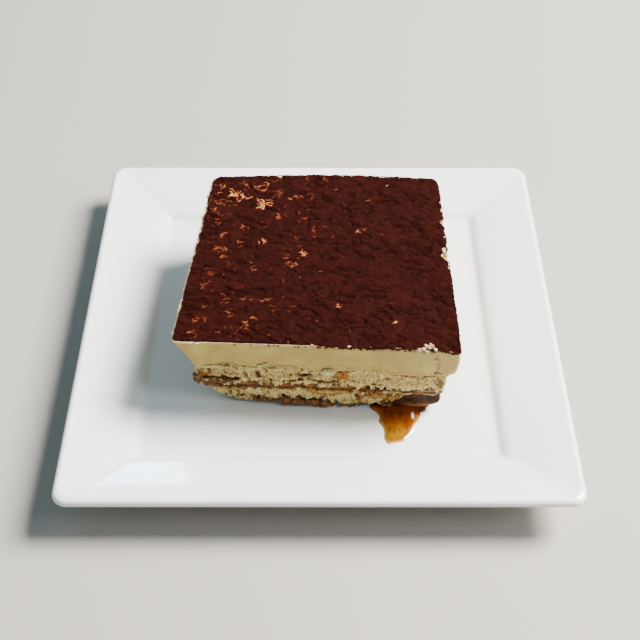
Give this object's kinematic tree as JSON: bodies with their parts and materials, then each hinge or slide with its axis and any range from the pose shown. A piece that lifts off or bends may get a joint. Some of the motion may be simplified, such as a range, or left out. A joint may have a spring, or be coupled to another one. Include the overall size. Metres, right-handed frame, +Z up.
{
  "type": "tiramisu slice on a plate",
  "caption": "Square slice of layered tiramisu with a cocoa-dusted top, served on a square white rimmed plate.",
  "frame": {"origin": "under the middle of the plate, on the surface that its foot stands on", "axes": "+Z up, -Y towards the cut side that shows the two sponge layers and the syrup"},
  "size_m": [0.21, 0.21, 0.0518],
  "materials": {
    "porcelain": "glossy white glaze",
    "sponge": "open crumb, stained with coffee in places",
    "soaked_sponge": "dark brown, wet with coffee",
    "cream": "soft pale yellow cream with the marks of the knife",
    "cocoa": "velvety red-brown powder, rippled",
    "syrup": "clear amber coffee syrup, wet and glossy"
  },
  "bodies": {
    "root": {"plate": "porcelain", "lower_sponge": "sponge", "soaked_ladyfinger": "soaked_sponge", "middle_seam": "soaked_sponge", "upper_sponge": "sponge", "cream": "cream", "cocoa": "cocoa", "coffee_syrup": "syrup"}
  },
  "joints": []
}
